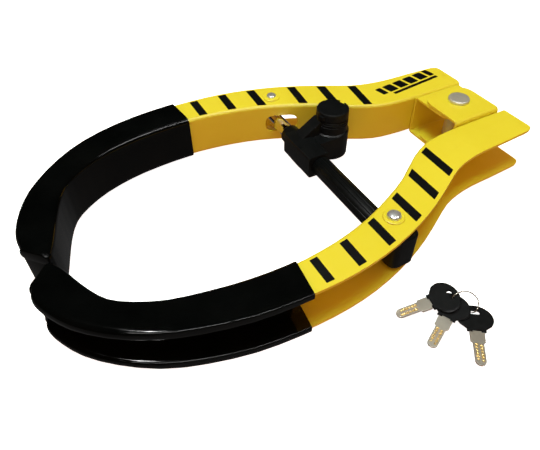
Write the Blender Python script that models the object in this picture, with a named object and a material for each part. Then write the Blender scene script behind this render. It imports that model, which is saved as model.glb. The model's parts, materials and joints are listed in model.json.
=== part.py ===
"""Claw wheel lock: two pressed-steel arms that hinge at one end, soft covers on their jaws, and a
key-locked telescoping bar that ties the arms together. Loose keys lie beside it.

Frame: the hinge axis is the Z axis, the floor is Z = 0, and the jaws point to -X. Lengths below
are in millimetres and are scaled to metres when a mesh is made.
"""

import math

import bmesh
import bpy
from mathutils import Matrix, Vector

MM = 0.001

# Pressed arms
ARM_BOTTOM = 2.3
ARM_HEIGHT = 50.0
PLATE = 3.0
BEND_RADIUS = 4.5
GAP = 0.3
ARM_TOP = ARM_BOTTOM + ARM_HEIGHT
MID_Z = ARM_BOTTOM + ARM_HEIGHT / 2

# Jaw covers
COVER_WALL = 2.0
COVER_LIP = 4.2  # extra thickness of the covers inside the channel, reached towards the tips
COVER_START = 14.65  # in stations along the arm

# Pivots of the bar, one per arm, at the same distance from the hinge
PIVOT_X = -189.0
PIVOT_Y = 119.5
RIVET_SHANK = 5.0

# Bar and lock
ROD_RADIUS = 8.25
TUBE_OUTER = 10.0
TUBE_INNER = 8.7
SHEATH_OUTER = 11.3
ROD_END_Y = -86.0
NOTCH_PITCH = 12.0
NOTCH_COUNT = 9
LATCH_TRAVEL = 2.0  # the latch rests clear of the rod, and a turn of the plug moves it this far in
CAM_RADIUS = 5.0
CAM_OFFSET = 2.6
LOCK_X = -149.5
LOCK_Y = 45.0
BARREL_RADIUS = 18.8
LOCK_TOP = 56.6
CAP_RADIUS = 18.6
CAP_BOTTOM = 57.6
CAP_TOP = 67.0
CAP_HINGE_ANGLE = math.radians(18)
CAP_HINGE_REACH = 15.6
CAP_HINGE_Z = 62.0

# Arm outline in plan for the arm on the +Y side, as (outer edge, inner edge) from hinge to tip
ARM_STATIONS = [
    ((36.5, 73.3), (36.5, 35.3)), ((36.0, 76.4), (36.0, 35.3)), ((34.2, 79.0), (34.2, 35.3)),
    ((28.5, 81.3), (28.5, 35.4)), ((13.0, 82.4), (13.0, 35.4)), ((-12.0, 83.8), (-12.0, 35.5)),
    ((-42.0, 85.1), (-40.0, 36.0)), ((-65.0, 88.4), (-62.0, 37.6)), ((-87.0, 95.0), (-85.0, 41.8)),
    ((-112.0, 108.4), (-112.0, 54.9)), ((-142.0, 124.5), (-145.0, 77.2)),
    ((-172.0, 137.6), (-177.0, 93.3)), ((-207.0, 149.0), (-210.0, 107.0)),
    ((-242.0, 156.2), (-242.0, 115.6)), ((-277.0, 159.2), (-270.0, 120.3)),
    ((-312.0, 158.8), (-302.0, 122.9)), ((-352.0, 155.0), (-340.0, 121.2)),
    ((-392.0, 145.2), (-375.0, 115.8)), ((-429.0, 130.0), (-407.0, 106.8)),
    ((-459.0, 109.5), (-431.5, 94.0)), ((-481.0, 86.5), (-449.0, 79.5)),
    ((-493.5, 64.5), (-460.3, 59.0)), ((-500.3, 46.0), (-468.5, 37.0)),
    ((-501.6, 34.0), (-475.3, 17.5)), ((-500.4, 25.0), (-481.5, 5.0)),
]
SUBSTEPS = 2
# The jaws meet a little to the -Y side of the hinge: how far each station is moved that way
JAW_BIAS = [(0,)] * 18 + [(1.5,), (3.0,), (5.0,), (8.0,), (12.0,), (15.5,), (18.5,)]

# Keys: tip position, heading in degrees, rise per mm of length
KEYS = [
    ("a", (-225.3, -183.5), -12.6, 0.21),
    ("b", (-220.5, -223.1), 26.5, 0.12),
    ("c", (-195.6, -257.0), 53.0, 0.034),
]
RING_PATH = [
    (-175.9, -197.6, 12.6), (-174.0, -198.0, 16.6), (-167.0, -199.8, 18.4),
    (-160.3, -204.3, 16.2), (-158.2, -211.1, 11.8), (-162.6, -215.7, 7.0),
    (-165.0, -214.2, 2.2), (-169.2, -209.0, 1.0), (-174.0, -201.4, 2.2), (-175.4, -197.7, 8.3),
]
KEY_HEAD = 2.6
BLADE = 1.9


def material(name, color, metallic, roughness):
    mat = bpy.data.materials.new(name)
    mat.use_nodes = True
    shader = mat.node_tree.nodes["Principled BSDF"]
    shader.inputs["Base Color"].default_value = (*color, 1)
    shader.inputs["Metallic"].default_value = metallic
    shader.inputs["Roughness"].default_value = roughness
    return mat


def shade(obj, angle=35):
    mesh = obj.data
    mesh.polygons.foreach_set("use_smooth", [True] * len(mesh.polygons))
    mesh.set_sharp_from_angle(angle=math.radians(angle))


def make(name, verts, faces, mat, origin=(0, 0, 0), helper=False):
    """A mesh object from points in mm, with its own origin and outward normals."""
    mesh = bpy.data.meshes.new(name)
    o = Vector(origin)
    mesh.from_pydata([(Vector(v) - o) * MM for v in verts], [], faces)
    bm = bmesh.new()
    bm.from_mesh(mesh)
    bmesh.ops.recalc_face_normals(bm, faces=bm.faces)
    bm.to_mesh(mesh)
    bm.free()
    obj = bpy.data.objects.new(name, mesh)
    obj.location = o * MM
    bpy.context.scene.collection.objects.link(obj)
    if helper:
        obj.hide_render = True
        obj.display_type = "WIRE"
    else:
        mesh.materials.append(mat)
        shade(obj)
    return obj


def combine(target, tool, operation):
    mod = target.modifiers.new(f"{operation.lower()}_{tool.name}", "BOOLEAN")
    mod.operation = operation
    mod.solver = "EXACT"
    mod.object = tool


def ring_faces(rings, closed=True, caps=True, loop=False):
    """Quads between successive rings of equal size, with end faces unless the rings form a loop."""
    n = len(rings[0])
    faces = []
    pairs = len(rings) if loop else len(rings) - 1
    for i in range(pairs):
        a, b = i * n, ((i + 1) % len(rings)) * n
        for j in range(n if closed else n - 1):
            k = (j + 1) % n
            faces.append((a + j, a + k, b + k, b + j))
    if caps and not loop:
        faces.append(tuple(range(n))[::-1])
        faces.append(tuple((len(rings) - 1) * n + j for j in range(n)))
    return faces


def loft(rings, **how):
    return [p for ring in rings for p in ring], ring_faces(rings, **how)


def circle(cx, cy, r, count, start=0.0, end=2 * math.pi):
    full = abs(end - start - 2 * math.pi) < 1e-6
    steps = count if full else count - 1
    return [
        (cx + r * math.cos(start + (end - start) * i / steps),
         cy + r * math.sin(start + (end - start) * i / steps))
        for i in range(count)
    ]


def prism(outline, z0, z1):
    return loft([[(x, y, z0) for x, y in outline], [(x, y, z1) for x, y in outline]])


def lathe(profile, cx, cy, count=32, axis="Z", cz=0.0):
    """Revolves (radius, height) points. A first radius of 0 makes a solid; otherwise a ring."""
    solid = profile[0][0] == 0
    rings = []
    for r, h in profile[1:-1] if solid else profile:
        ring = []
        for x, y in circle(0, 0, r, count):
            ring.append((cx + x, cy + y, h) if axis == "Z" else (cx + x, h, cz + y))
        rings.append(ring)
    return loft(rings, caps=solid, loop=not solid)


def rounded_rect(x0, x1, y0, y1, r, steps=4):
    q = math.pi / 2
    points = []
    for cx, cy, a in ((x1 - r, y1 - r, 0), (x0 + r, y1 - r, q), (x0 + r, y0 + r, 2 * q),
                      (x1 - r, y0 + r, 3 * q)):
        points += circle(cx, cy, r, steps + 1, a, a + q)
    return points


def hull(points):
    """Convex outline of plan points, counter-clockwise."""
    points = sorted(set((round(x, 4), round(y, 4)) for x, y in points))
    halves = []
    for run in (points, points[::-1]):
        half = []
        for p in run:
            while len(half) > 1 and (
                (half[-1][0] - half[-2][0]) * (p[1] - half[-2][1])
                - (half[-1][1] - half[-2][1]) * (p[0] - half[-2][0])
            ) <= 0:
                half.pop()
            half.append(p)
        halves.append(half[:-1])
    return halves[0] + halves[1]


# --- pressed channels -------------------------------------------------------------------------


def catmull(points, t):
    i = min(int(t), len(points) - 2)
    f = t - i
    p = [Vector(points[max(0, min(len(points) - 1, i + k))]) for k in (-1, 0, 1, 2)]
    return 0.5 * (
        2 * p[1] + (p[2] - p[0]) * f + (2 * p[0] - 5 * p[1] + 4 * p[2] - p[3]) * f * f
        + (3 * p[1] - p[0] - 3 * p[2] + p[3]) * f ** 3
    )


def channel_section(width, z0, z1, grow, fillet, lining=0.0):
    """C section in (distance from the open edge, height), grown outward by `grow` all round and by
    `lining` more on its inside faces."""
    bend = BEND_RADIUS
    lo, hi = z0 + bend, z1 - bend
    u = width - bend
    q = math.pi / 2
    face = width - PLATE - grow - lining
    floor, ceiling = z0 + PLATE + grow + lining, z1 - PLATE - grow - lining
    points = [(-grow, z0 - grow)]
    points += circle(u, lo, bend + grow, 4, -q, 0)
    points += circle(u, hi, bend + grow, 4, 0, q)
    points += [(-grow, z1 + grow), (-grow, ceiling)]
    points += circle(face - fillet, ceiling - fillet, fillet, 4, q, 0)
    points += circle(face - fillet, floor + fillet, fillet, 4, 0, -q)
    points += [(-grow, floor)]
    return points


def station_ring(outer, inner, z0, z1, grow, fillet, shift=0.0, lining=0.0):
    outer, inner = Vector(outer), Vector(inner)
    span = inner - outer
    along = Vector((span.y, -span.x)).normalized()
    unit = span.normalized()
    return [
        (*(outer + unit * u + along * shift), z)
        for u, z in channel_section(span.length, z0, z1, grow, fillet, lining)
    ]


def arm_at(t, side):
    outer = catmull([s[0] for s in ARM_STATIONS], t)
    inner = catmull([s[1] for s in ARM_STATIONS], t)
    bias = catmull([(b[0], 0.0) for b in JAW_BIAS], t).x
    return (outer.x, outer.y * side - bias), (inner.x, inner.y * side - bias)


def arm_steps(start):
    last = len(ARM_STATIONS) - 1
    steps = [start]
    step = math.floor(start * SUBSTEPS + 1.01) / SUBSTEPS
    while step < last + 1e-6:
        if step > 3 or step == int(step):
            steps.append(step)
        step += 1 / SUBSTEPS
    return steps


def arm(name, side, mat):
    rings = [
        station_ring(*arm_at(t, side), ARM_BOTTOM, ARM_TOP, 0.0, BEND_RADIUS - PLATE)
        for t in arm_steps(0)
    ]
    return make(name, *loft(rings), mat)


def cover(name, side, mat):
    """A soft sleeve over the jaw end: an outer and an inner skin, joined at the mouth."""
    skins = {}
    for key, grow, fillet, past in (("out", GAP + COVER_WALL, 1.6, GAP + COVER_WALL),
                                    ("in", GAP, 1.2, GAP)):
        rings = []
        last = len(ARM_STATIONS) - 1
        for t in arm_steps(COVER_START):
            thick = min(1.0, (t - COVER_START) / 4.0) * COVER_LIP if key == "out" else 0.0
            shift = side * past if t > last - 1e-6 else 0.0
            rings.append(station_ring(*arm_at(t, side), ARM_BOTTOM, ARM_TOP, grow, fillet, shift,
                                      thick))
        skins[key] = rings
    rings = skins["out"][::-1] + skins["in"]
    obj = make(name, *loft(rings), mat)
    outer, inner = (Vector(p) for p in arm_at(len(ARM_STATIONS) - 1, side))
    unit = (inner - outer).normalized()
    along = Vector((unit.y, -unit.x)) * side
    a, b = outer - unit * 2.3, inner + unit * 2.3
    near, far = along * 0.7, along * 3.4
    outline = [a + near, b + near, b + along * 2.2 - unit * 0.5, b + far - unit * 2.0,
               a + far + unit * 2.0, a + along * 2.2 + unit * 0.5]
    plate = make(name + "_tip", *prism([tuple(p) for p in outline], 0.0, ARM_TOP + 2.3), None,
                 helper=True)
    combine(obj, plate, "UNION")
    return obj


def bracket(name, side, lift, mat):
    """U bracket: its web lies on the arm's web and its two plates reach over the hinge axis."""
    x0, x1, tip, web, r = -35.0, 30.0, 23.0, 35.0, 13.0
    stations = []
    for a in (0, 30, 60, 90):
        c, s = math.cos(math.radians(a)), math.sin(math.radians(a))
        stations.append((x0 + r * (1 - c), tip - r * (1 - s)))
    stations += [(x0 + x1 - x, y) for x, y in stations[::-1]]
    rings = [
        station_ring((x, -side * y), (x, side * web), ARM_BOTTOM + lift, ARM_TOP + lift, 0.0, 1.5)
        for x, y in stations
    ]
    return make(name, *loft(rings), mat)


def vertical_hole(target, x, y, radius, z0=-5.0, z1=80.0, count=24):
    tool = make(f"{target.name}_bore", *prism(circle(x, y, radius, count), z0, z1), None,
                helper=True)
    combine(target, tool, "DIFFERENCE")


def wire(path, radius, per_span=4, count=8):
    """A closed round wire along a smooth path."""
    n = len(path)
    points = []
    for i in range(n):
        four = [path[(i + k) % n] for k in (-1, 0, 1, 2)]
        points += [catmull(four, 1 + j / per_span) for j in range(per_span)]
    rings = []
    for i, p in enumerate(points):
        ahead = (points[(i + 1) % len(points)] - points[i - 1]).normalized()
        side = ahead.cross(Vector((0.55, -0.75, 0.35))).normalized()
        lift = side.cross(ahead)
        rings.append([tuple(p + side * x + lift * y) for x, y in circle(0, 0, radius, count)])
    return loft(rings, loop=True)


# --- scene ------------------------------------------------------------------------------------


def clear():
    for obj in list(bpy.data.objects):
        bpy.data.objects.remove(obj)
    for mesh in list(bpy.data.meshes):
        bpy.data.meshes.remove(mesh)


def build_arms():
    paint_rear = material("yellow_paint_rear", (0.83, 0.72, 0.035), 0.0, 0.35)
    paint_front = material("yellow_paint_front", (0.83, 0.72, 0.035), 0.0, 0.35)
    for name, side, paint in (("rear_arm", 1, paint_rear), ("front_arm", -1, paint_front)):
        body = arm(name, side, paint)
        vertical_hole(body, PIVOT_X, side * PIVOT_Y, RIVET_SHANK + GAP)
        if side > 0:
            window = rounded_rect(-205.0, -168.0, 16.2, 38.4, 9.0)
        else:
            window = rounded_rect(-209.5, -169.5, 12.6, 42.0, 8.0)
        ends = [(x, side * y, z) for y in (80.0, 114.0) for x, z in window]
        n = len(window)
        tool = make(name + "_window", ends, ring_faces([ends[:n], ends[n:]]), None, helper=True)
        combine(body, tool, "DIFFERENCE")
    for name, side in (("rear_jaw_cover", 1), ("front_jaw_cover", -1)):
        cover(name, side, material(name + "_vinyl", (0.006, 0.007, 0.007), 0.0, 0.18))


def build_hinge():
    for name, side, lift in (("rear_hinge_bracket", 1, 0.0), ("front_hinge_bracket", -1, 3.3)):
        mat = material(name + "_paint", (0.83, 0.72, 0.035), 0.0, 0.35)
        vertical_hole(bracket(name, side, lift, mat), 0, 0, 7.3, count=28)
    steel = material("hinge_pin_steel", (0.5, 0.48, 0.42), 1.0, 0.35)
    top = ARM_TOP + 3.3 + GAP
    profile = [(0, 0), (10.0, 0), (11.0, 0.8), (11.0, 2.0), (7.0, 2.0), (7.0, top), (12.2, top),
               (12.4, top + 0.6), (12.4, top + 2.6), (11.9, top + 3.4), (11.0, top + 3.8),
               (0, top + 3.8)]
    make("hinge_pin", *lathe(profile, 0, 0, 36), steel)
    low, high = ARM_BOTTOM + 3.3 + PLATE + GAP, ARM_TOP - PLATE - GAP
    make("hinge_spacer", *lathe([(9.6, low), (9.6, high), (7.3, high), (7.3, low)], 0, 0, 32),
         material("hinge_spacer_steel", (0.45, 0.45, 0.43), 1.0, 0.4))


def build_rivets():
    for name, side, head, rise in (("rear", 1, 5.6, 3.4), ("front", -1, 6.8, 4.6)):
        chrome = material(f"{name}_rivet_chrome", (0.8, 0.8, 0.8), 1.0, 0.15)
        ring = ARM_TOP + GAP
        make(f"{name}_rivet_washer",
             *lathe([(10.4, ring), (10.4, ring + 0.6), (9.8, ring + 1.0), (5.3, ring + 1.0),
                     (5.3, ring)], PIVOT_X, side * PIVOT_Y, 28),
             material(f"{name}_washer_steel", (0.7, 0.68, 0.6), 1.0, 0.3))
        base = ring + 1.0 + GAP
        dome = [(head * math.cos(a), base + 0.6 + (rise - 0.6) * math.sin(a))
                for a in (0, 0.35, 0.7, 1.05, 1.35)]
        profile = [(0, 0.5), (8.0, 0.5), (8.4, 1.0), (8.4, 2.0), (RIVET_SHANK, 2.0),
                   (RIVET_SHANK, base), (head, base), *dome, (0, base + rise)]
        make(f"{name}_pivot_rivet", *lathe(profile, PIVOT_X, side * PIVOT_Y, 28), chrome)


def build_bar():
    chrome = material("rod_chrome", (0.75, 0.75, 0.77), 1.0, 0.12)
    profile = [(0, ROD_END_Y), (ROD_RADIUS - 1.2, ROD_END_Y), (ROD_RADIUS, ROD_END_Y + 1.2)]
    for k in reversed(range(NOTCH_COUNT)):
        y = LOCK_Y - k * NOTCH_PITCH
        profile += [(ROD_RADIUS, y - 4.2), (ROD_RADIUS - 2.1, y - 3.1),
                    (ROD_RADIUS - 2.1, y + 3.1), (ROD_RADIUS, y + 4.2)]
    profile += [(ROD_RADIUS, PIVOT_Y - 6), (0, PIVOT_Y - 6)]
    rod = make("lock_rod", *lathe(profile, PIVOT_X, 0, 28, "Y", MID_Z), chrome,
               origin=(PIVOT_X, PIVOT_Y, MID_Z))
    eye = make("lock_rod_eye", *prism(circle(PIVOT_X, PIVOT_Y, 10.5, 28), MID_Z - 9.5, MID_Z + 9.5),
               None, helper=True)
    combine(rod, eye, "UNION")
    vertical_hole(rod, PIVOT_X, PIVOT_Y, RIVET_SHANK + GAP)

    tube = lathe([(TUBE_OUTER, -110.0), (TUBE_OUTER, 4.5), (TUBE_INNER, 4.5),
                  (TUBE_INNER, -110.0)], PIVOT_X, 0, 28, "Y", MID_Z)
    make("bar_tube", *tube, material("bar_tube_steel", (0.3, 0.3, 0.3), 1.0, 0.4),
         origin=(PIVOT_X, -PIVOT_Y, MID_Z))
    outline = []
    for k in range(48):
        r = SHEATH_OUTER - (0.5 if k % 4 == 0 else 0.0)
        outline.append((r, 2 * math.pi * k / 48))
    rings = [[(PIVOT_X + r * math.cos(a), y, MID_Z + r * math.sin(a)) for r, a in outline]
             for y in (-103.0, 4.5)]
    bore = TUBE_OUTER + GAP
    rings += [[(PIVOT_X + bore * math.cos(a), y, MID_Z + bore * math.sin(a)) for r, a in outline]
              for y in (4.5, -103.0)]
    make("bar_sheath", *loft(rings, loop=True),
         material("bar_sheath_plastic", (0.012, 0.012, 0.012), 0.0, 0.4),
         origin=(PIVOT_X, -PIVOT_Y, MID_Z))

    plan = circle(PIVOT_X, -PIVOT_Y, 14.2, 13, 0, math.pi)
    plan += circle(PIVOT_X - 14.2 + 8, -137.0, 8, 5, math.pi, 1.5 * math.pi)
    plan += circle(PIVOT_X + 14.2 - 8, -137.0, 8, 5, 1.5 * math.pi, 2 * math.pi)
    shrink = [(PIVOT_X + (x - PIVOT_X) * 0.9, -124.0 + (y + 124.0) * 0.92) for x, y in plan]
    rings = [[(x, y, z) for x, y in line] for line, z in
             ((shrink, 8.0), (plan, 10.0), (plan, 44.5), (shrink, 46.5))]
    block = make("bar_end_block", *loft(rings),
                 material("bar_end_plastic", (0.012, 0.012, 0.012), 0.0, 0.35),
                 origin=(PIVOT_X, -PIVOT_Y, MID_Z))
    socket = make("bar_end_socket",
                  *lathe([(0, -111.0), (TUBE_OUTER + GAP, -111.0), (TUBE_OUTER + GAP, -95.0),
                          (0, -95.0)], PIVOT_X, 0, 24, "Y", MID_Z), None, helper=True)
    combine(block, socket, "DIFFERENCE")
    vertical_hole(block, PIVOT_X, -PIVOT_Y, RIVET_SHANK + GAP)


def build_lock():
    black = material("lock_housing_black", (0.012, 0.012, 0.012), 0.0, 0.4)
    pivot = (PIVOT_X, -PIVOT_Y, MID_Z)
    foot = hull(circle(LOCK_X, LOCK_Y, 20.4, 32) + rounded_rect(-203.5, -180.0, 24.0, 46.0, 2.0, 2))
    housing = make("lock_housing", *prism(foot, 14.5, 39.0), black, origin=pivot)
    barrel = lathe([(0, 7.2), (19.0, 7.2), (20.4, 8.6), (20.4, 39.8), (BARREL_RADIUS, 41.0),
                    (BARREL_RADIUS, 49.6), (17.9, 50.0), (17.9, 51.2), (BARREL_RADIUS, 51.6),
                    (BARREL_RADIUS, 53.0), (17.9, 53.4), (17.9, 54.6), (BARREL_RADIUS, 55.0),
                    (BARREL_RADIUS - 0.6, LOCK_TOP), (0, LOCK_TOP)], LOCK_X, LOCK_Y, 36)
    combine(housing, make("lock_barrel_body", *barrel, None, helper=True), "UNION")
    block = rounded_rect(-204.3, -177.9, 14.0, 40.6, 3.0, 2)
    ends = [(x, y, z) for y in (4.8, 60.0) for x, z in block]
    tool = make("lock_block", ends, ring_faces([ends[:12], ends[12:]]), None, helper=True)
    combine(housing, tool, "UNION")
    ramp = [(-196.0, 38.0), (-160.0, 38.0), (-160.0, 56.0), (-167.0, 56.0), (-190.0, 41.5)]
    ends = [(x, y, z) for y in (40.0, 56.0) for x, z in ramp]
    tool = make("lock_ramp", ends, ring_faces([ends[:5], ends[5:]]), None, helper=True)
    combine(housing, tool, "UNION")
    c, s = math.cos(CAP_HINGE_ANGLE), math.sin(CAP_HINGE_ANGLE)

    def cap_plan(u, v):
        return (LOCK_X + u * c - v * s, LOCK_Y + u * s + v * c)

    reach = CAP_HINGE_REACH
    ear = [cap_plan(u, v) for u, v in
           ((reach - 2.4, -3.2), (reach + 2.4, -3.2), (reach + 2.4, 3.2), (reach - 2.4, 3.2))]
    combine(housing, make("lock_ear", *prism(ear, 52.0, 64.2), None, helper=True), "UNION")
    # Bores: rod along Y, barrel along Z, latch along X, cap pin through the ear
    rod_bore = lathe([(0, 0.0), (TUBE_INNER, 0.0), (TUBE_INNER, 70.0), (0, 70.0)], PIVOT_X, 0, 28,
                     "Y", MID_Z)
    combine(housing, make("rod_bore", *rod_bore, None, helper=True), "DIFFERENCE")
    vertical_hole(housing, LOCK_X, LOCK_Y, 12.4, 19.0, 60.0, 28)
    slot = [(x, y, z) for x in (-190.0, -155.0) for y, z in
            ((LOCK_Y - 2.8, 23.8), (LOCK_Y + 2.8, 23.8), (LOCK_Y + 2.8, 30.8),
             (LOCK_Y - 2.8, 30.8))]
    tool = make("latch_slot", slot, ring_faces([slot[:4], slot[4:]]), None, helper=True)
    combine(housing, tool, "DIFFERENCE")

    def cap_axis_ring(radius, v0, v1, count=12):
        rings = []
        for v in (v0, v1):
            ring = []
            for p, q in circle(0, 0, radius, count):
                x, y = cap_plan(reach + p, v)
                ring.append((x, y, CAP_HINGE_Z + q))
            rings.append(ring)
        return loft(rings)

    combine(housing, make("cap_pin_bore", *cap_axis_ring(1.3, -8, 8), None, helper=True),
            "DIFFERENCE")
    make("cap_pin", *cap_axis_ring(1.0, -5.6, 5.6),
         material("cap_pin_steel", (0.5, 0.5, 0.5), 1.0, 0.3),
         origin=(*cap_plan(reach, 0), CAP_HINGE_Z))

    collar = [(11.6, 60.3), (11.6, 73.4), (10.4, 75.0), (TUBE_INNER, 75.0), (TUBE_INNER, 60.3)]
    make("rod_collar", *lathe(collar, PIVOT_X, 0, 32, "Y", MID_Z),
         material("rod_collar_black", (0.012, 0.012, 0.012), 0.0, 0.35), origin=pivot)

    make("lock_barrel", *lathe([(12.0, 33.0), (12.0, 56.4), (6.7, 56.4), (6.7, 33.0)], LOCK_X,
                               LOCK_Y, 28),
         material("lock_barrel_brass", (0.55, 0.42, 0.16), 1.0, 0.3),
         origin=(LOCK_X, LOCK_Y, 33.0))
    plug = make("lock_plug", *lathe([(0, 31.0), (6.4, 31.0), (6.4, 55.6), (5.9, 56.2), (0, 56.2)],
                                    LOCK_X, LOCK_Y, 24),
                material("lock_plug_steel", (0.6, 0.6, 0.58), 1.0, 0.25),
                origin=(LOCK_X, LOCK_Y, 33.0))
    key_way = rounded_rect(LOCK_X - 5.0, LOCK_X + 5.0, LOCK_Y - 1.4, LOCK_Y + 1.4, 0.6, 2)
    combine(plug, make("plug_keyway", *prism(key_way, 33.5, 60.0), None, helper=True), "DIFFERENCE")
    cam = [(LOCK_X + x, LOCK_Y - CAM_OFFSET + y) for x, y in circle(0, 0, CAM_RADIUS, 24)]
    make("lock_cam", *prism(cam, 23.0, 30.6),
         material("lock_cam_steel", (0.4, 0.4, 0.38), 1.0, 0.35), origin=(LOCK_X, LOCK_Y, 27.0))
    tip = PIVOT_X + ROD_RADIUS - 1.6 + LATCH_TRAVEL
    tail = LOCK_X - 8.4 + LATCH_TRAVEL
    bolt = [(tip, -1.4), (tip + 1.6, -2.4), (tail, -2.4), (tail, 2.4), (tip + 1.6, 2.4),
            (tip, 1.4)]
    bolt = [(x, LOCK_Y + y) for x, y in bolt]
    make("latch_bolt", *prism(bolt, 24.2, 30.4),
         material("latch_bolt_steel", (0.55, 0.55, 0.52), 1.0, 0.3),
         origin=(LOCK_X, LOCK_Y, 27.0))

    cap = make("dust_cap",
               *lathe([(0, CAP_TOP), (CAP_RADIUS - 1.8, CAP_TOP), (CAP_RADIUS - 0.5, CAP_TOP - 0.6),
                       (CAP_RADIUS, CAP_TOP - 1.9), (CAP_RADIUS, CAP_BOTTOM),
                       (CAP_RADIUS - 2.4, CAP_BOTTOM), (CAP_RADIUS - 2.4, CAP_TOP - 2.6),
                       (0, CAP_TOP - 2.6)], LOCK_X, LOCK_Y, 40),
               material("dust_cap_black", (0.012, 0.012, 0.012), 0.0, 0.3),
               origin=(*cap_plan(reach, 0), CAP_HINGE_Z))
    cheeks = [cap_plan(u, v) for u, v in ((10.5, -8), (reach + 1.2, -8), (reach + 1.2, 8),
                                          (10.5, 8))]
    combine(cap, make("cap_cheeks", *prism(cheeks, CAP_HINGE_Z - 2.4, CAP_TOP - 1.5), None,
                      helper=True), "UNION")
    tab = [cap_plan(u, v) for u, v in ((-CAP_RADIUS + 1.0, -4.0), (-CAP_RADIUS - 2.6, -3.0),
                                       (-CAP_RADIUS - 2.6, 3.0), (-CAP_RADIUS + 1.0, 4.0))]
    combine(cap, make("cap_tab", *prism(tab, 60.0, 64.0), None, helper=True), "UNION")
    notch = [cap_plan(u, v) for u, v in ((reach - 3.4, -3.8), (reach + 8, -3.8), (reach + 8, 3.8),
                                         (reach - 3.4, 3.8))]
    combine(cap, make("cap_notch", *prism(notch, 50.0, 70.0), None, helper=True), "DIFFERENCE")
    combine(cap, make("cap_bore", *cap_axis_ring(1.3, -6.2, 6.2), None, helper=True), "DIFFERENCE")


def key_points(points, tip, heading, slope):
    """Key-space points (along, across, up) placed on the floor with the head raised."""
    turn = Matrix.Rotation(math.radians(heading), 3, "Z")
    tilt = Matrix.Rotation(-math.atan(slope), 3, "Y")
    base = Vector((*tip, 0.35))
    return [tuple(base + turn @ (tilt @ Vector(p))) for p in points]


def build_keys():
    half, wide = 4.6, 6.4
    blade = [(x + half, y) for x, y in circle(0, 0, half, 9, math.pi / 2, 1.5 * math.pi)]
    blade += [(21.5, -half), (22.5, -wide), (31.8, -wide), (31.8, -3.6), (38.5, -3.6),
              (38.5, 3.6), (31.8, 3.6), (31.8, wide), (22.5, wide), (21.5, half)]
    head = [(32.2, -8.2), (35.0, -8.2)]
    head += [(46.3 + 13.2 * math.cos(a), 16.2 * math.sin(a))
             for a in (math.radians(-122 + 244 * i / 20) for i in range(21))]
    head += [(35.0, 8.2), (32.2, 8.2)]
    low = (KEY_HEAD - BLADE) / 2
    for tag, tip, heading, slope in KEYS:
        place = (tip, heading, slope)
        centre = key_points([(46.0, 0, 0)], *place)[0]
        points, faces = prism(blade, low, low + BLADE)
        make(f"key_{tag}_blade", key_points(points, *place), faces,
             material(f"key_{tag}_nickel", (0.62, 0.6, 0.54), 1.0, 0.3), origin=centre)
        inset = [(45.0 + (x - 45.0) * 0.95, y * 0.94) for x, y in head]
        rings = [[(x, y, z) for x, y in line] for line, z in
                 ((inset, 0.0), (head, 0.7), (head, KEY_HEAD - 0.7), (inset, KEY_HEAD))]
        points, faces = loft(rings)
        bow = make(f"key_{tag}_bow", key_points(points, *place), faces,
                   material(f"key_{tag}_plastic", (0.014, 0.014, 0.014), 0.0, 0.4), origin=centre)
        hole = rounded_rect(49.8, 54.4, -5.0, 5.0, 2.2, 4)
        points, faces = prism(hole, -3.0, KEY_HEAD + 3.0)
        tool = make(f"key_{tag}_hole", key_points(points, *place), faces, None, helper=True)
        combine(bow, tool, "DIFFERENCE")
        points, faces = prism([(25.0, -3.9), (38.8, -3.9), (38.8, 3.9), (25.0, 3.9)],
                              low - 0.3, low + BLADE + 0.3)
        tool = make(f"key_{tag}_socket", key_points(points, *place), faces, None, helper=True)
        combine(bow, tool, "DIFFERENCE")
    make("key_ring", *wire(RING_PATH, 0.6),
         material("key_ring_steel", (0.6, 0.58, 0.5), 1.0, 0.25), origin=(-165.0, -206.8, 9.0))


def main():
    clear()
    build_arms()
    build_hinge()
    build_rivets()
    build_bar()
    build_lock()
    build_keys()


main()
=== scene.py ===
"""Looks of a hinged claw wheel lock: yellow powder-coated channel arms, black dipped-vinyl jaw
covers, a key-locked telescoping bar and three loose dimple keys on a plain pale floor.

All positions are in metres in the frame of the CAD: hinge axis on Z, floor at Z = 0, jaws to -X.
"""

import json
import math

import bmesh
import bpy
import numpy as np
from mathutils import Matrix, Vector

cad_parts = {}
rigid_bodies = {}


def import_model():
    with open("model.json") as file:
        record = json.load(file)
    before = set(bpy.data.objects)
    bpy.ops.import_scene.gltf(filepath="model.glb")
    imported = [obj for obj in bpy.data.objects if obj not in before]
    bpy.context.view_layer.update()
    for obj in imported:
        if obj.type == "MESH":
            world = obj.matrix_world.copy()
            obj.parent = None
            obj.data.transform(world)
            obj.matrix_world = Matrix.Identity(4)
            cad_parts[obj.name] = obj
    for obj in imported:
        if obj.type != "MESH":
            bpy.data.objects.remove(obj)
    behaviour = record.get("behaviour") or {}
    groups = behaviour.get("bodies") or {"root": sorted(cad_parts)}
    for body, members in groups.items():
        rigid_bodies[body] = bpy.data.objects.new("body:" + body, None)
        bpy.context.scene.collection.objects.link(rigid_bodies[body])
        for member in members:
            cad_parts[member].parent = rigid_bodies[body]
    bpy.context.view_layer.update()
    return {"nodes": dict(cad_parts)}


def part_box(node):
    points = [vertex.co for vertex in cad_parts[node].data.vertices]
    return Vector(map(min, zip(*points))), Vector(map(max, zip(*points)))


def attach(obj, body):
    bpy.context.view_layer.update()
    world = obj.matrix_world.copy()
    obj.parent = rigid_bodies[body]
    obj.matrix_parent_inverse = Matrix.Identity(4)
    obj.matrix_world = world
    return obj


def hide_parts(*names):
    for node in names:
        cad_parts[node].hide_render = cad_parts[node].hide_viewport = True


MM = 0.001
WELD = 1e-5  # corners of a CAD node nearer than this are one corner

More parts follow.
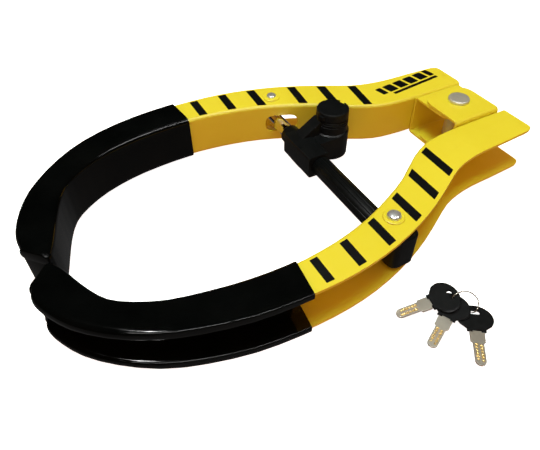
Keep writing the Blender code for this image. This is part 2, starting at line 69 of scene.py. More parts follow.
# Jaw covers
COVER_SKIN = 2.3 * MM  # the covers' outside stands this far off the pressed arm
LIP_AT_MOUTH = 7.4 * MM
LIP_AT_TIP = 12.6 * MM
EDGE_AT_MOUTH = 1.6 * MM
EDGE_AT_TIP = 7.0 * MM
HOLLOW = 2.2 * MM  # radius of the inside corners
TIP_ROUND = 2.4  # in mm: radius of the closed end's rim
TIP_RIM_REACH = 2.9  # in mm: how far the rims stand past the last section
TIP_WALL_REACH = 1.2  # in mm: the same for the wall between them
TIP_RIM_HEIGHT = 13.6 * MM
TIP_RIM_INSIDE = 6.0 * MM
COVER_SECTIONS = 110
MOUTH_ANGLE = math.radians(76.0)  # where the covers end, seen from the middle of the jaws
WEB_MOUTH_ANGLE = math.radians(73.8)
JAW_CENTRE_X = -0.2606
PRESS_RADIUS = 4.5 * MM  # outside radius of the arms' pressed bends
BEND = PRESS_RADIUS + COVER_SKIN
QUARTER = math.pi / 2

# Painted bands on each arm: distance from the hinge axis, width, lean towards the hinge
FRONT_BANDS = [(281.2, 8.3, 0.0), (247.1, 9.0, 0.0), (210.2, 9.4, 0.0), (169.7, 10.2, 0.0),
               (134.1, 10.7, -1.0), (97.6, 10.9, -1.2)]
REAR_BANDS = [(276.3, 9.8, 0.2), (240.9, 9.9, 1.2), (205.9, 10.0, 1.8), (158.8, 9.4, 4.8),
              (125.6, 9.8, 5.4), (92.1, 9.4, 6.2)]
BANDS_REACH = 330.0  # the arms are bare to this distance from the hinge axis
INK_LIFT = 0.01 * MM
INK = 0.05 * MM

# Keys, as in the CAD and in mm: tip position, heading in degrees, rise per length
KEYS = [("a", (-225.3, -183.5), -12.6, 0.21), ("b", (-220.5, -223.1), 26.5, 0.12),
        ("c", (-195.6, -257.0), 53.0, 0.034)]
KEY_REST = 0.35
KEY_HEAD = 2.6
BLADE = 1.9
BLADE_HALF = 4.6
SHOULDER_HALF = 6.4
TANG_HALF = 3.6
PIT_PITCH = 2.75
PIT_ROWS = [(-2.05, 4.4), (2.05, 5.4)]  # distance across the blade, first pit from the tip

# The photograph's camera, and half the width of the pale stage round the lock
CAMERA_PLACE = (-0.44684, -0.36344, 0.38227)
CAMERA_TURN = (44.805, 0.547, -28.267)
LENS = 33.865
STAGE_HALF = 8.0


# --- node materials ---------------------------------------------------------------------------


def new_material(name, color, metallic, roughness):
    mat = bpy.data.materials.new(name)
    mat.use_nodes = True
    shader = mat.node_tree.nodes["Principled BSDF"]
    shader.inputs["Base Color"].default_value = (*color, 1)
    shader.inputs["Metallic"].default_value = metallic
    shader.inputs["Roughness"].default_value = roughness
    return mat, mat.node_tree, shader


def noise(tree, scale, detail=3.0, stretch=None):
    """A noise texture over object space; scale is in features per metre."""
    coords = tree.nodes.new("ShaderNodeTexCoord")
    source = coords.outputs["Object"]
    if stretch:
        mapping = tree.nodes.new("ShaderNodeMapping")
        mapping.inputs["Scale"].default_value = stretch
        tree.links.new(source, mapping.inputs["Vector"])
        source = mapping.outputs["Vector"]
    texture = tree.nodes.new("ShaderNodeTexNoise")
    texture.inputs["Scale"].default_value = scale
    texture.inputs["Detail"].default_value = detail
    tree.links.new(source, texture.inputs["Vector"])
    return texture.outputs["Fac"]


def ramp(tree, factor, stops):
    node = tree.nodes.new("ShaderNodeValToRGB")
    elements = node.color_ramp.elements
    while len(elements) < len(stops):
        elements.new(0.5)
    for element, (position, color) in zip(elements, stops):
        element.position = position
        element.color = (*color, 1)
    tree.links.new(factor, node.inputs["Fac"])
    return node.outputs["Color"]


def vary_color(tree, shader, factor, stops):
    tree.links.new(ramp(tree, factor, stops), shader.inputs["Base Color"])


def vary_roughness(tree, shader, factor, low, high):
    """Noise stays mostly between 0.3 and 0.7, which is spread over low to high."""
    node = tree.nodes.new("ShaderNodeMapRange")
    node.inputs["From Min"].default_value = 0.3
    node.inputs["From Max"].default_value = 0.7
    node.inputs["To Min"].default_value = low
    node.inputs["To Max"].default_value = high
    tree.links.new(factor, node.inputs["Value"])
    tree.links.new(node.outputs["Result"], shader.inputs["Roughness"])


def bump(tree, shader, factor, strength, distance):
    node = tree.nodes.new("ShaderNodeBump")
    node.inputs["Strength"].default_value = strength
    node.inputs["Distance"].default_value = distance
    tree.links.new(factor, node.inputs["Height"])
    previous = shader.inputs["Normal"].links
    if previous:
        tree.links.new(previous[0].from_socket, node.inputs["Normal"])
    tree.links.new(node.outputs["Normal"], shader.inputs["Normal"])


def powder_coat():
    mat, tree, shader = new_material("yellow_powder_coat", (0.82, 0.64, 0.02), 0.0, 0.42)
    cloud = noise(tree, 14, 4)
    vary_color(tree, shader, cloud, [(0.3, (0.77, 0.64, 0.026)), (0.7, (0.82, 0.69, 0.034))])
    vary_roughness(tree, shader, noise(tree, 120, 4), 0.32, 0.46)
    bump(tree, shader, noise(tree, 620, 2), 0.22, 0.12 * MM)
    bump(tree, shader, noise(tree, 60, 2), 0.15, 0.4 * MM)
    return mat


def dipped_vinyl():
    mat, tree, shader = new_material("black_dipped_vinyl", (0.004, 0.0046, 0.0046), 0.0, 0.16)
    vary_color(tree, shader, noise(tree, 30, 4),
               [(0.3, (0.0010, 0.0013, 0.0013)), (0.7, (0.0022, 0.0026, 0.0026))])
    shader.inputs["Specular IOR Level"].default_value = 0.3
    vary_roughness(tree, shader, noise(tree, 70, 3), 0.07, 0.15)
    bump(tree, shader, noise(tree, 22, 2), 0.35, 0.5 * MM)
    bump(tree, shader, noise(tree, 160, 2), 0.12, 0.05 * MM)
    return mat


def moulded_black(name, roughness, grain):
    mat, tree, shader = new_material(name, (0.003, 0.0033, 0.0033), 0.0, roughness)
    shader.inputs["Specular IOR Level"].default_value = 0.3
    vary_color(tree, shader, noise(tree, 60, 4),
               [(0.3, (0.0020, 0.0023, 0.0023)), (0.7, (0.0040, 0.0045, 0.0045))])
    vary_roughness(tree, shader, noise(tree, 300, 4), roughness - 0.05, roughness + 0.08)
    bump(tree, shader, noise(tree, grain, 3), 0.25, 0.06 * MM)
    return mat


def metal(name, color, roughness, spread=0.05, grain=900, strength=0.06, stretch=None,
          metallic=0.75):
    mat, tree, shader = new_material(name, color, metallic, roughness)
    darker = tuple(0.86 * c for c in color)
    vary_color(tree, shader, noise(tree, 80, 4), [(0.3, darker), (0.65, color)])
    vary_roughness(tree, shader, noise(tree, grain * 0.4, 4), roughness - spread,
                   roughness + spread)
    bump(tree, shader, noise(tree, grain, 2, stretch), strength, 0.05 * MM)
    return mat


def floor_paper():
    """A pale sheet, lit a little from within like a product table."""
    mat, tree, shader = new_material("pale_floor", (0.93, 0.93, 0.93), 0.0, 0.9)
    shader.inputs["Specular IOR Level"].default_value = 0.0
    shader.inputs["Emission Color"].default_value = (1, 1, 1, 1)
    shader.inputs["Emission Strength"].default_value = 1.0
    return mat


# --- mesh helpers -----------------------------------------------------------------------------


def mesh_object(name, verts, faces, mat, angle=35):
    mesh = bpy.data.meshes.new(name)
    mesh.from_pydata([tuple(v) for v in verts], [], faces)
    bm = bmesh.new()
    bm.from_mesh(mesh)
    bmesh.ops.recalc_face_normals(bm, faces=bm.faces)
    bm.to_mesh(mesh)
    bm.free()
    mesh.materials.append(mat)
    mesh.polygons.foreach_set("use_smooth", [True] * len(mesh.polygons))
    mesh.set_sharp_from_angle(angle=math.radians(angle))
    obj = bpy.data.objects.new(name, mesh)
    bpy.context.scene.collection.objects.link(obj)
    return obj


def loft(rings, loop=False):
    """(corners, faces) of a skin over the rings: capped at both ends, or closed into a loop."""
    n = len(rings[0])
    verts = [p for ring in rings for p in ring]
    faces = []
    for i in range(len(rings) if loop else len(rings) - 1):
        a, b = i * n, (i + 1) % len(rings) * n
        faces += [(a + j, a + (j + 1) % n, b + (j + 1) % n, b + j) for j in range(n)]
    if not loop:
        faces += [tuple(range(n))[::-1], tuple((len(rings) - 1) * n + j for j in range(n))]
    return verts, faces


def lathe(name, profile, centre, mat, count=96):
    """Turns (radius, height) points round an upright axis through centre. Ends are closed."""
    rings = []
    for r, h in profile:
        r = max(r, 1e-5)
        turns = [2 * math.pi * k / count for k in range(count)]
        rings.append([centre + Vector((r * math.cos(a), r * math.sin(a), h)) for a in turns])
    return mesh_object(name, *loft(rings), mat, angle=50)


def fillet(profile, radius, steps=4):
    """Rounds the corners of an open profile."""
    points = [Vector(p) for p in profile]
    out = [points[0]]
    for a, b, c in zip(points, points[1:], points[2:]):
        reach = min(radius, (a - b).length * 0.45, (c - b).length * 0.45)
        p, q = b + (a - b).normalized() * reach, b + (c - b).normalized() * reach
        out += [(1 - t) ** 2 * p + 2 * t * (1 - t) * b + t * t * q
                for t in (k / steps for k in range(steps + 1))]
    out.append(points[-1])
    return [tuple(p) for p in out]


def soften(obj, width, segments=2, angle=32):
    """Rounds the hard edges of a CAD node or a piece as drawn; its own mesh stays as it is."""
    obj.modifiers.new("weld", "WELD").merge_threshold = WELD
    bevel = obj.modifiers.new("edge_round", "BEVEL")
    bevel.width = width
    bevel.segments = segments
    bevel.limit_method = "ANGLE"
    bevel.angle_limit = math.radians(angle)
    bevel.miter_outer = "MITER_ARC"
    normals = obj.modifiers.new("normals", "WEIGHTED_NORMAL")
    normals.keep_sharp = False
    normals.weight = 60


def bake_modifiers(obj):
    graph = bpy.context.evaluated_depsgraph_get()
    mesh = bpy.data.meshes.new_from_object(obj.evaluated_get(graph))
    obj.modifiers.clear()
    obj.data = mesh


def subtract(obj, tool):
    """Cuts tool out of obj; the cut faces keep the tool's material."""
    mod = obj.modifiers.new("cut", "BOOLEAN")
    mod.operation = "DIFFERENCE"
    mod.solver = "EXACT"
    mod.object = tool
    mod.material_mode = "TRANSFER"
    bake_modifiers(obj)
    bpy.data.objects.remove(tool)


def finish_piece(obj, body, *nodes):
    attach(obj, body)
    if nodes:
        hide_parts(*nodes)


def refinish(frame, mat, width, *nodes):
    """Gives CAD nodes their finished material and rounded edges."""
    for name in nodes:
        node = frame["nodes"][name]
        for slot in node.material_slots:
            slot.material = mat
        if width:
            soften(node, width)


# --- outlines read from the frame -------------------------------------------------------------


def level_points(node, z):
    """Plan positions of a CAD node's corners at one height."""
    co = np.empty(len(node.data.vertices) * 3)
    node.data.vertices.foreach_get("co", co)
    co = co.reshape(-1, 3)
    flat = co[np.abs(co[:, 2] - z) < 2 * WELD][:, :2]
    return np.unique(np.round(flat, 6), axis=0)


def outer_mask(key, height, window):
    """True for the points on the far side of a band of two edges, compared with near neighbours
    along the band."""
    mask = []
    for k, h in zip(key, height):
        near = height[np.abs(key - k) < window]
        mask.append(h > (near.max() + near.min()) / 2)
    return np.array(mask)


def top_points(frame, name, side):
    """Plan points of the flange's free edge and of its bend, without the rivet hole."""
    points = level_points(frame["nodes"][name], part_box(name)[1].z)
    low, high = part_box("rear_rivet_washer" if side > 0 else "front_rivet_washer")
    hole = np.array(((low + high) / 2).xy)
    return points[np.hypot(*(points - hole).T) > 8 * MM]


def jaw_edges(frame, name, side):
    """(free edge, web edge) of an arm within its cover, ordered from the mouth to the tip."""
    points = top_points(frame, name, side)
    rel = points - (JAW_CENTRE_X, 0)
    angle, radius = np.arctan2(rel[:, 1] * side, -rel[:, 0]), np.hypot(*rel.T)
    mask = outer_mask(angle, radius, math.radians(8))
    lines = []
    for chosen in (mask, ~mask):
        keep = np.flatnonzero(chosen & (angle < MOUTH_ANGLE + math.radians(12)))
        lines.append(points[keep[np.argsort(-angle[keep])]])
    count = min(len(line) for line in lines)
    free, bend = (line[-count:] for line in lines)
    span = (bend - free) / np.hypot(*(bend - free).T)[:, None]
    web = bend + span * PRESS_RADIUS
    return cut_at_mouth(free, side, MOUTH_ANGLE), cut_at_mouth(web, side, WEB_MOUTH_ANGLE)


def cut_at_mouth(line, side, mouth):
    """The part of a jaw edge from the mouth of the cover to the tip."""
    rel = line - (JAW_CENTRE_X, 0)
    angle = np.arctan2(rel[:, 1] * side, -rel[:, 0])
    start = [np.interp(-mouth, -angle, line[:, k]) for k in (0, 1)]
    return np.vstack([start, line[angle < mouth - math.radians(0.5)]])


def arm_edges(frame, name, side):
    """(free edge, bend edge) of an arm between the hinge and the cover, ordered by X."""
    points = top_points(frame, name, side)
    points = points[points[:, 0] > -BANDS_REACH * MM]
    points = points[np.argsort(points[:, 0])]
    mask = outer_mask(points[:, 0], points[:, 1] * side, 20 * MM)
    return points[mask], points[~mask]


def resample(points, count):
    """Evenly spaced points on a smooth curve through the given ones."""
    steps = np.hypot(*np.diff(points, axis=0).T)
    s = np.concatenate([[0], np.cumsum(steps)])
    t = np.linspace(0, s[-1], count * 4)
    dense = np.stack([np.interp(t, s, points[:, k]) for k in (0, 1)], 1)
    reach = 4
    padded = np.concatenate([2 * dense[0] - dense[reach:0:-1], dense,
                             2 * dense[-1] - dense[-2:-reach - 2:-1]])
    kernel = np.ones(2 * reach + 1) / (2 * reach + 1)
    smooth = np.stack([np.convolve(padded[:, k], kernel, "valid") for k in (0, 1)], 1)
    steps = np.hypot(*np.diff(smooth, axis=0).T)
    s = np.concatenate([[0], np.cumsum(steps)])
    t = np.linspace(0, s[-1], count)
    return np.stack([np.interp(t, s, smooth[:, k]) for k in (0, 1)], 1)


def edge_y(line, x):
    """Plan Y of an edge at X, on the stretch between the hinge and the covers."""
    return float(np.interp(x, line[:, 0], line[:, 1]))


# --- jaw covers -------------------------------------------------------------------------------


def arc(cx, cy, r, a0, a1, steps=6):
    return [(cx + r * math.cos(a0 + (a1 - a0) * k / steps),
             cy + r * math.sin(a0 + (a1 - a0) * k / steps)) for k in range(steps + 1)]


def cover_section(width, bottom, top, lip, edge):
    """C-shaped section in (distance from the open side, height); the web is at the far side."""
    under = min(edge, lip * 0.35)
    floor_in, roof_in = bottom + lip, top - lip
    back = width - lip - HOLLOW
    points = arc(edge, bottom + edge, edge, -2 * QUARTER, -QUARTER)
    points += arc(width - BEND, bottom + BEND, BEND, -QUARTER, 0, 8)
    points += arc(width - BEND, top - BEND, BEND, 0, QUARTER, 8)
    points += arc(edge, top - edge, edge, QUARTER, 2 * QUARTER)
    points += arc(under, roof_in + under, under, 2 * QUARTER, 3 * QUARTER)
    points += arc(back, roof_in - HOLLOW, HOLLOW, QUARTER, 0)
    points += arc(back, floor_in + HOLLOW, HOLLOW, 0, -QUARTER)
    points += arc(under, floor_in - under, under, QUARTER, 2 * QUARTER)
    return points


def smooth_step(t, start, end):
    """Rises smoothly from 0 at start to 1 at end."""
    t = min(1.0, max(0.0, (t - start) / (end - start)))
    return t * t * (3 - 2 * t)


def across(outer, inner):
    """(start, direction, width) of the cover's outside, from one point on each edge of the arm."""
    a, b = Vector(outer), Vector(inner)
    unit = (b - a).normalized()
    return a - unit * COVER_SKIN, unit, (b - a).length + 2 * COVER_SKIN


def cover_rings(outer, inner, bottom, top):
    """Sections from the mouth to the tip; the lip thickens and the edge rounds on the way."""
    rings = []
    for i, pair in enumerate(zip(outer, inner)):
        start, unit, width = across(*pair)
        t = i / (len(outer) - 1)
        lip = LIP_AT_MOUTH + (LIP_AT_TIP - LIP_AT_MOUTH) * min(1.0, t * 1.25)
        lip = min(lip, width * 0.36)
        edge = EDGE_AT_MOUTH + (EDGE_AT_TIP - EDGE_AT_MOUTH) * smooth_step(t, 0.38, 0.7)
        rings.append([Vector((*(start + unit * u), z))
                      for u, z in cover_section(width, bottom, top, lip, edge)])
    return rings


def rounded_box(width, bottom, top, radii, shrink):
    """A rounded rectangle; radii run from the low corner at the mouth to the top one there."""
    near_low, far_low, far_top, near_top = radii
    points = arc(near_low, bottom + near_low, near_low - shrink, -2 * QUARTER, -QUARTER, 8)
    points += arc(width - far_low, bottom + far_low, far_low - shrink, -QUARTER, 0, 8)
    points += arc(width - far_top, top - far_top, far_top - shrink, 0, QUARTER, 8)
    points += arc(near_top, top - near_top, near_top - shrink, QUARTER, 2 * QUARTER, 8)
    return points


def end_pad(outer, inner, bottom, top, radii, reach, side):
    """A pad with a rounded rim across the tip of the C, from bottom to top."""
    start, unit, width = across(outer[-1], inner[-1])
    along = Vector((unit.y, -unit.x)) * side
    stops = [(-3.0, 0.3)]
    for angle in (0, 20, 40, 60, 78):
        a = math.radians(angle)
        stops.append((reach - TIP_ROUND * (1 - math.sin(a)), TIP_ROUND * (1 - math.cos(a))))
    rings = []
    for forward, shrink in stops:
        ring = rounded_box(width, bottom, top, radii, shrink * MM)
        rings.append([Vector((*(start + unit * u + along * forward * MM), z)) for u, z in ring])
    return rings


def jaw_cover(frame, name, arm, side, mat):
    """The dipped cover: a C-shaped skin, closed at its tip by a wall between two rims."""
    low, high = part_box(name)
    outer, inner = (resample(line, COVER_SECTIONS) for line in jaw_edges(frame, arm, side))
    verts, faces = loft(cover_rings(outer, inner, low.z, high.z))
    edge, inside = EDGE_AT_TIP, TIP_RIM_INSIDE
    pads = [(low.z, high.z, (edge, BEND, BEND, edge), TIP_WALL_REACH),
            (high.z - TIP_RIM_HEIGHT, high.z, (inside, inside, BEND, edge), TIP_RIM_REACH),
            (low.z, low.z + TIP_RIM_HEIGHT, (edge, BEND, inside, inside), TIP_RIM_REACH)]
    for bottom, top, radii, reach in pads:
        pad, pad_faces = loft(end_pad(outer, inner, bottom, top, radii, reach, side))
        faces += [tuple(k + len(verts) for k in face) for face in pad_faces]
        verts = verts + pad
    return mesh_object(name + "_dipped", verts, faces, mat, angle=60)


# --- painted marks ----------------------------------------------------------------------------


def ink_patch(name, corners, z, mat, radius=0.7 * MM):
    """A flat printed mark with slightly rounded corners."""
    points = [Vector(c) for c in corners]
    ring = []
    for i, b in enumerate(points):
        a, c = points[i - 1], points[(i + 1) % len(points)]
        p = b + (a - b).normalized() * radius
        q = b + (c - b).normalized() * radius
        ring += [(1 - t) ** 2 * p + 2 * t * (1 - t) * b + t * t * q for t in (0, 0.33, 0.67, 1)]
    base = z + INK_LIFT
    rings = [[Vector((*p, h)) for p in ring] for h in (base, base + INK)]
    return mesh_object(name, *loft(rings), mat)


def bands(frame, arm, side, rows, inner_inset, outer_inset, body, mat):
    """Bands across an arm's top, stopping short of its edges by the insets."""
    outer, inner = arm_edges(frame, arm, side)
    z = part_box(arm)[1].z
    for k, (distance, width, lean) in enumerate(rows):
        corners = []
        for line, inset, shift, ends in ((inner, inner_inset, 0.0, (-1, 1)),
                                         (outer, -outer_inset, lean, (1, -1))):
            for end in ends:
                x = (-distance + shift - lean / 2 + end * width / 2) * MM
                corners.append((x, edge_y(line, x) + side * inset * MM))
        finish_piece(ink_patch(f"{arm}_band_{k + 1}", corners, z, mat), body)


def emblem(arm, body, mat):
    """A plain geometric mark near the hinge: a row of leaning bars over a thin rule."""
    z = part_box(arm)[1].z
    along, up = Vector((0.995, 0.10)), Vector((-0.22, 0.976))
    origin = Vector((-64.0, 50.5))
    shapes = [(0.0, 8.0), (11.5, 13.5), (28.5, 13.5), (45.5, 13.5), (62.5, 13.5), (79.5, 8.0)]
    for k, (start, length) in enumerate(shapes):
        base = origin + along * start + up * 7.0
        quad = [base, base + along * length, base + along * length + up * 15.0, base + up * 15.0]
        quad = [p * MM for p in quad]
        finish_piece(ink_patch(f"emblem_bar_{k + 1}", quad, z, mat, 1.6 * MM), body)
    rule = [origin + along * 12, origin + along * 86, origin + along * 86 + up * 4.4,
            origin + along * 12 + up * 4.4]
    finish_piece(ink_patch("emblem_rule", [p * MM for p in rule], z, mat), body)


# --- turned parts -----------------------------------------------------------------------------


def turned(name, node, profile, radius, body, mat):
    """An upright turned part in place of a CAD node, its profile in mm from the node's foot."""
    low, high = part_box(node)
    centre = Vector((*((low + high) / 2).xy, low.z))
    rounded = fillet([(r * MM, h * MM) for r, h in profile], radius * MM)
    finish_piece(lathe(name, rounded, centre, mat), body, node)


def height_of(node):
    low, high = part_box(node)
    return (high.z - low.z) / MM


def hinge_pin(mats):
    t = height_of("hinge_pin")
    turned("hinge_rivet", "hinge_pin",
           [(0, 0), (11.0, 0), (11.0, 2.0), (7.0, 2.0), (7.0, t - 3.8), (12.4, t - 3.8),
            (12.4, t - 1.3), (11.6, t - 0.25), (9.0, t - 0.06), (0, t)],
           0.55, "front_assembly", mats["satin"])
    t = height_of("hinge_spacer")
    turned("hinge_sleeve", "hinge_spacer",
           [(7.3, 0), (9.6, 0), (9.6, t), (7.3, t)], 0.3, "front_assembly", mats["satin"])


def pivot_rivet(name, head, rise, body, mats):
    """A domed rivet and the painted washer under its head; rise is the head's height."""
    t = height_of(f"{name}_pivot_rivet")
    base = t - rise
    dome = [(head * math.cos(a), base + 0.9 + (rise - 0.9) * math.sin(a))
            for a in (math.radians(9 * k) for k in range(10))]
    profile = [(0, 0), (8.4, 0), (8.4, 1.5), (5.0, 1.5), (5.0, base), (head, base),
               *dome, (0, t)]
    turned(f"{name}_bar_rivet", f"{name}_pivot_rivet", profile, 0.35, body, mats["chrome"])
    turned(f"{name}_bar_washer", f"{name}_rivet_washer",
           [(5.3, 0), (10.4, 0), (10.4, 0.5), (9.5, 1.0), (5.3, 1.0)], 0.3, body, mats["yellow"])


def bar_sheath(mats):
    """The black tube cover, with shallow flutes along it and rounded ends."""
    low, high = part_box("bar_sheath")
    mid = (low + high) / 2
    outer, bore = (high.z - low.z) / 2, 10.3 * MM
    turns = [2 * math.pi * k / 192 for k in range(192)]

    def ring(y, radius):
        return [Vector((mid.x + radius(a) * math.cos(a), y, mid.z + radius(a) * math.sin(a)))
                for a in turns]

    stops = [(0.0, 1.2), (0.35, 0.5), (1.2, 0.0)]
    ends = [(low.y + a * MM, s) for a, s in stops]
    ends += [(high.y - a * MM, s) for a, s in stops[::-1]]
    rings = [ring(y, lambda a: outer - (shrink + 0.42 * max(0.0, math.cos(12 * a)) ** 8) * MM)
             for y, shrink in ends]
    rings += [ring(y, lambda a: bore) for y in (high.y, low.y)]
    obj = mesh_object("bar_grip", *loft(rings, loop=True), mats["bar_black"], angle=40)
    finish_piece(obj, "bar", "bar_sheath")


# --- keys -------------------------------------------------------------------------------------


def key_place(tip, heading, slope):
    """From mm along a key, starting at its tip, to metres in the world."""
    turn = Matrix.Rotation(math.radians(heading), 4, "Z")
    tilt = Matrix.Rotation(-math.atan(slope), 4, "Y")
    shift = Matrix.Translation(Vector((*tip, KEY_REST)) * MM)
    return shift @ turn @ tilt @ Matrix.Scale(MM, 4)


def dimples(place, top, mat):
    """One cutter of ball shapes: two rows of pits on each face."""
    bm = bmesh.new()
    for row, first in PIT_ROWS:
        for k in range(6):
            radius = 1.55 if k % 3 else 1.35
            for height in (top + 0.75, top - BLADE - 0.75):
                spot = Matrix.Translation((first + PIT_PITCH * k, row, height))
                bmesh.ops.create_uvsphere(bm, u_segments=20, v_segments=12, radius=radius,
                                          matrix=place @ spot)
    mesh = bpy.data.meshes.new("key_dimples")
    bm.to_mesh(mesh)
    bm.free()
    mesh.materials.append(mat)
    tool = bpy.data.objects.new("key_dimples", mesh)
    bpy.context.scene.collection.objects.link(tool)
    return tool


def key_blade(tag, place, mat, pit_mat):
    """A dimple key's blade: round tip, shoulder, and a narrow tang inside the head."""
    shape = arc(BLADE_HALF, 0, BLADE_HALF, QUARTER, 3 * QUARTER, 20)
    flank = [(21.5, -BLADE_HALF), (22.5, -SHOULDER_HALF), (31.8, -SHOULDER_HALF),
             (31.8, -TANG_HALF), (38.5, -TANG_HALF)]
    shape += flank + [(x, -y) for x, y in flank[::-1]]
    low = (KEY_HEAD - BLADE) / 2
    rings = [[place @ Vector((x, y, z)) for x, y in shape] for z in (low, low + BLADE)]
    obj = mesh_object(f"key_{tag}_bit", *loft(rings), mat, angle=35)
    bevel = obj.modifiers.new("edge_round", "BEVEL")
    bevel.width = 0.3 * MM
    bevel.segments = 2
    bevel.limit_method = "ANGLE"
    bevel.angle_limit = math.radians(40)
    subtract(obj, dimples(place, low + BLADE, pit_mat))
    obj.data.polygons.foreach_set("use_smooth", [True] * len(obj.data.polygons))
    obj.data.set_sharp_from_angle(angle=math.radians(28))
    obj.modifiers.new("flat_faces", "WEIGHTED_NORMAL").keep_sharp = True
    finish_piece(obj, "key_set", f"key_{tag}_blade")


def keys(frame, mats):
    for tag, tip, heading, slope in KEYS:
        key_blade(tag, key_place(tip, heading, slope), mats["nickel"], mats["pit_brass"])
        refinish(frame, mats["key_black"], 0.45 * MM, f"key_{tag}_bow")
    refinish(frame, mats["wire"], 0, "key_ring")
    ring = frame["nodes"]["key_ring"]
    ring.modifiers.new("weld", "WELD").merge_threshold = WELD
    sub = ring.modifiers.new("round", "SUBSURF")
    sub.levels = sub.render_levels = 1


# --- studio -----------------------------------------------------------------------------------


def stage_piece(name, verts, faces):
    """Seen by the camera only, so it neither lights the lock nor shows in it."""
    obj = mesh_object(name, verts, faces, floor_paper())
    obj.visible_glossy = False
    obj.visible_diffuse = False
    obj.visible_shadow = False
    return obj


def floor():
    """A pale sheet just under the lock, and four pale walls far behind it."""
    half = STAGE_HALF
    corners = [(-half, -half, 0), (half, -half, 0), (half, half, 0), (-half, half, 0)]
    stage_piece("studio_floor", corners, [(0, 1, 2, 3)]).location.z = -0.2 * MM
    walls = [(x, y, z) for z in (-1.0, half) for x, y, _ in corners]
    stage_piece("studio_backdrop", walls, [(k, (k + 1) % 4, (k + 1) % 4 + 4, k + 4)
                                           for k in range(4)])


def area_light(name, location, target, size, power, color=(1, 1, 1), fills=False):
    """A light that fills is soft and has no reflection; the others are seen in gloss only."""
    data = bpy.data.lights.new(name, "AREA")
    data.shape = "RECTANGLE"
    data.size, data.size_y = size
    data.energy = power
    data.color = color
    obj = bpy.data.objects.new(name, data)
    obj.location = location
    aim = Vector(target) - Vector(location)
    obj.rotation_euler = aim.to_track_quat("-Z", "Y").to_euler()
    obj.visible_glossy = not fills
    obj.visible_diffuse = fills
    bpy.context.scene.collection.objects.link(obj)


def sky():
    """A warm light from all round, which the gloss doesn't show."""
    world = bpy.data.worlds.new("studio")
    world.use_nodes = True
    background = world.node_tree.nodes["Background"]
    background.inputs["Color"].default_value = (1.0, 0.51, 0.25, 1)
    background.inputs["Strength"].default_value = 0.68
    world.cycles_visibility.glossy = False
    bpy.context.scene.world = world


def studio():
    floor()
    sky()
    above, middle = (-0.30, -0.05, 1.5), (-0.25, 0, 0)
    area_light("overhead", above, middle, (0.9, 0.6), 19, (0.63, 0.97, 1.0), fills=True)
    area_light("table_glow", (-0.25, 0, -0.2), (-0.25, 0, 1), (4.0, 4.0), 4.5)
    area_light("ceiling_panel", above, middle, (1.0, 0.22), 5.6)
    area_light("jaw_glint", (-0.85, -0.12, 1.45), (-0.42, -0.1, 0), (0.14, 0.14), 11)
    area_light("camera_strip", (-0.15, -0.95, 1.30), middle, (1.7, 0.06), 14)
    area_light("front_strip", (-0.95, -0.95, 0.9), middle, (0.9, 0.07), 4.0)
    bpy.context.scene.view_settings.view_transform = "Standard"


def camera():
    data = bpy.data.cameras.new("camera")
    data.sensor_width = 36.0
    data.lens = LENS
    obj = bpy.data.objects.new("camera", data)
    obj.location = CAMERA_PLACE
    obj.rotation_euler = [math.radians(a) for a in CAMERA_TURN]
    bpy.context.scene.collection.objects.link(obj)
    bpy.context.scene.camera = obj


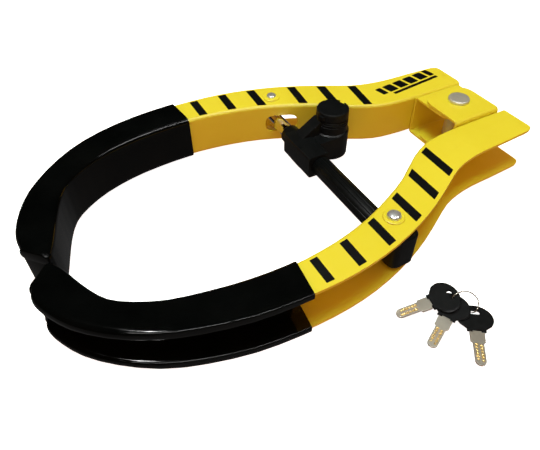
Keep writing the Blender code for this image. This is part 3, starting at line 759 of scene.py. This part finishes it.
def other_materials(yellow):
    """The materials that several functions pick from by name."""
    return {
        "yellow": yellow,
        "satin": metal("satin_rivet_steel", (0.80, 0.76, 0.64), 0.52, 0.05, 700, 0.12),
        "chrome": metal("bright_rivet", (0.90, 0.90, 0.88), 0.30, 0.04, 500, 0.03),
        "rod": metal("chromed_rod", (0.90, 0.90, 0.90), 0.10, 0.02, 300, 0.02,
                     stretch=(1, 8, 1), metallic=1.0),
        "nickel": metal("nickel_silver", (0.74, 0.68, 0.58), 0.33, 0.04, 500, 0.04),
        "pit_brass": metal("cut_brass", (0.95, 0.72, 0.30), 0.30, 0.04, 500, 0.04),
        "wire": metal("ring_wire", (0.50, 0.46, 0.40), 0.25),
        "brass": metal("lock_brass", (0.62, 0.45, 0.18), 0.3),
        "tube": metal("tube_steel", (0.35, 0.35, 0.34), 0.4),
        "bar_black": moulded_black("bar_sleeve_black", 0.34, 700),
        "lock_black": moulded_black("lock_body_black", 0.40, 520),
        "cap_black": moulded_black("cap_black_rubber", 0.45, 900),
        "key_black": moulded_black("key_head_black", 0.40, 800),
    }


def arms(frame, yellow, vinyl):
    refinish(frame, yellow, 0.5 * MM, "rear_arm", "front_arm", "rear_hinge_bracket",
             "front_hinge_bracket")
    for end, side in (("rear", 1), ("front", -1)):
        cover = jaw_cover(frame, f"{end}_jaw_cover", f"{end}_arm", side, vinyl)
        finish_piece(cover, f"{end}_assembly", f"{end}_jaw_cover")


def marks(frame, ink):
    bands(frame, "front_arm", -1, FRONT_BANDS, 1.0, 4.3, "front_assembly", ink)
    bands(frame, "rear_arm", 1, REAR_BANDS, -1.0, 2.4, "rear_assembly", ink)
    emblem("rear_arm", "rear_assembly", ink)


def rivets(mats):
    hinge_pin(mats)
    pivot_rivet("rear", 5.6, 3.4, "rear_assembly", mats)
    pivot_rivet("front", 6.8, 4.6, "front_assembly", mats)


def bar_and_lock(frame, mats):
    bar_sheath(mats)
    refinish(frame, mats["rod"], 0, "lock_rod")
    refinish(frame, mats["tube"], 0, "bar_tube")
    refinish(frame, mats["bar_black"], 1.2 * MM, "bar_end_block")
    refinish(frame, mats["bar_black"], 0.4 * MM, "rod_collar")
    refinish(frame, mats["lock_black"], 1.0 * MM, "lock_housing")
    refinish(frame, mats["cap_black"], 0.5 * MM, "dust_cap")
    refinish(frame, mats["brass"], 0.3 * MM, "lock_barrel")
    refinish(frame, mats["chrome"], 0, "lock_plug", "lock_cam", "latch_bolt", "cap_pin")


def main():
    for obj in list(bpy.data.objects):
        bpy.data.objects.remove(obj)
    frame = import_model()
    yellow, vinyl = powder_coat(), dipped_vinyl()
    ink = moulded_black("band_ink", 0.42, 900)
    mats = other_materials(yellow)
    arms(frame, yellow, vinyl)
    marks(frame, ink)
    rivets(mats)
    bar_and_lock(frame, mats)
    keys(frame, mats)
    studio()
    camera()


main()
